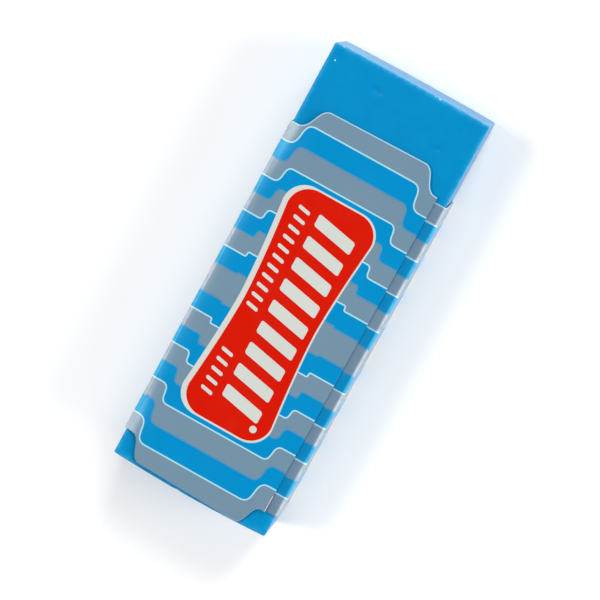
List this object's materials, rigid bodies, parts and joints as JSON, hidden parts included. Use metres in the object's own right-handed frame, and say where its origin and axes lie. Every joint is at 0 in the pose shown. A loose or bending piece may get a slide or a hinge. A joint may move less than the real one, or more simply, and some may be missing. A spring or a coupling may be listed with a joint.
{
  "type": "vinyl eraser",
  "caption": "Rectangular soft vinyl eraser block in a wrapped, printed film sleeve that grips it, slides along it and pulls off either end.",
  "frame": {"origin": "on the plane that the eraser lies on, under the middle of the block's length and of the sleeve's width: the bottom centre of the bounding box", "axes": "+X along the block towards the bare end that rubs, +Z out of the printed face, +Y across the width, away from the sleeve's seam"},
  "size_m": [0.062, 0.0238, 0.0129],
  "materials": {
    "vinyl": "soft matt, slightly waxy",
    "printed_film": "gloss"
  },
  "bodies": {
    "block": {"eraser_block": "vinyl"},
    "sleeve": {"sleeve": "printed_film"}
  },
  "joints": [
    {"name": "sleeve_slide", "type": "slide", "parent": "block", "child": "sleeve", "axis": [1, 0, 0], "range_m": [-0.054, 0.062]}
  ]
}
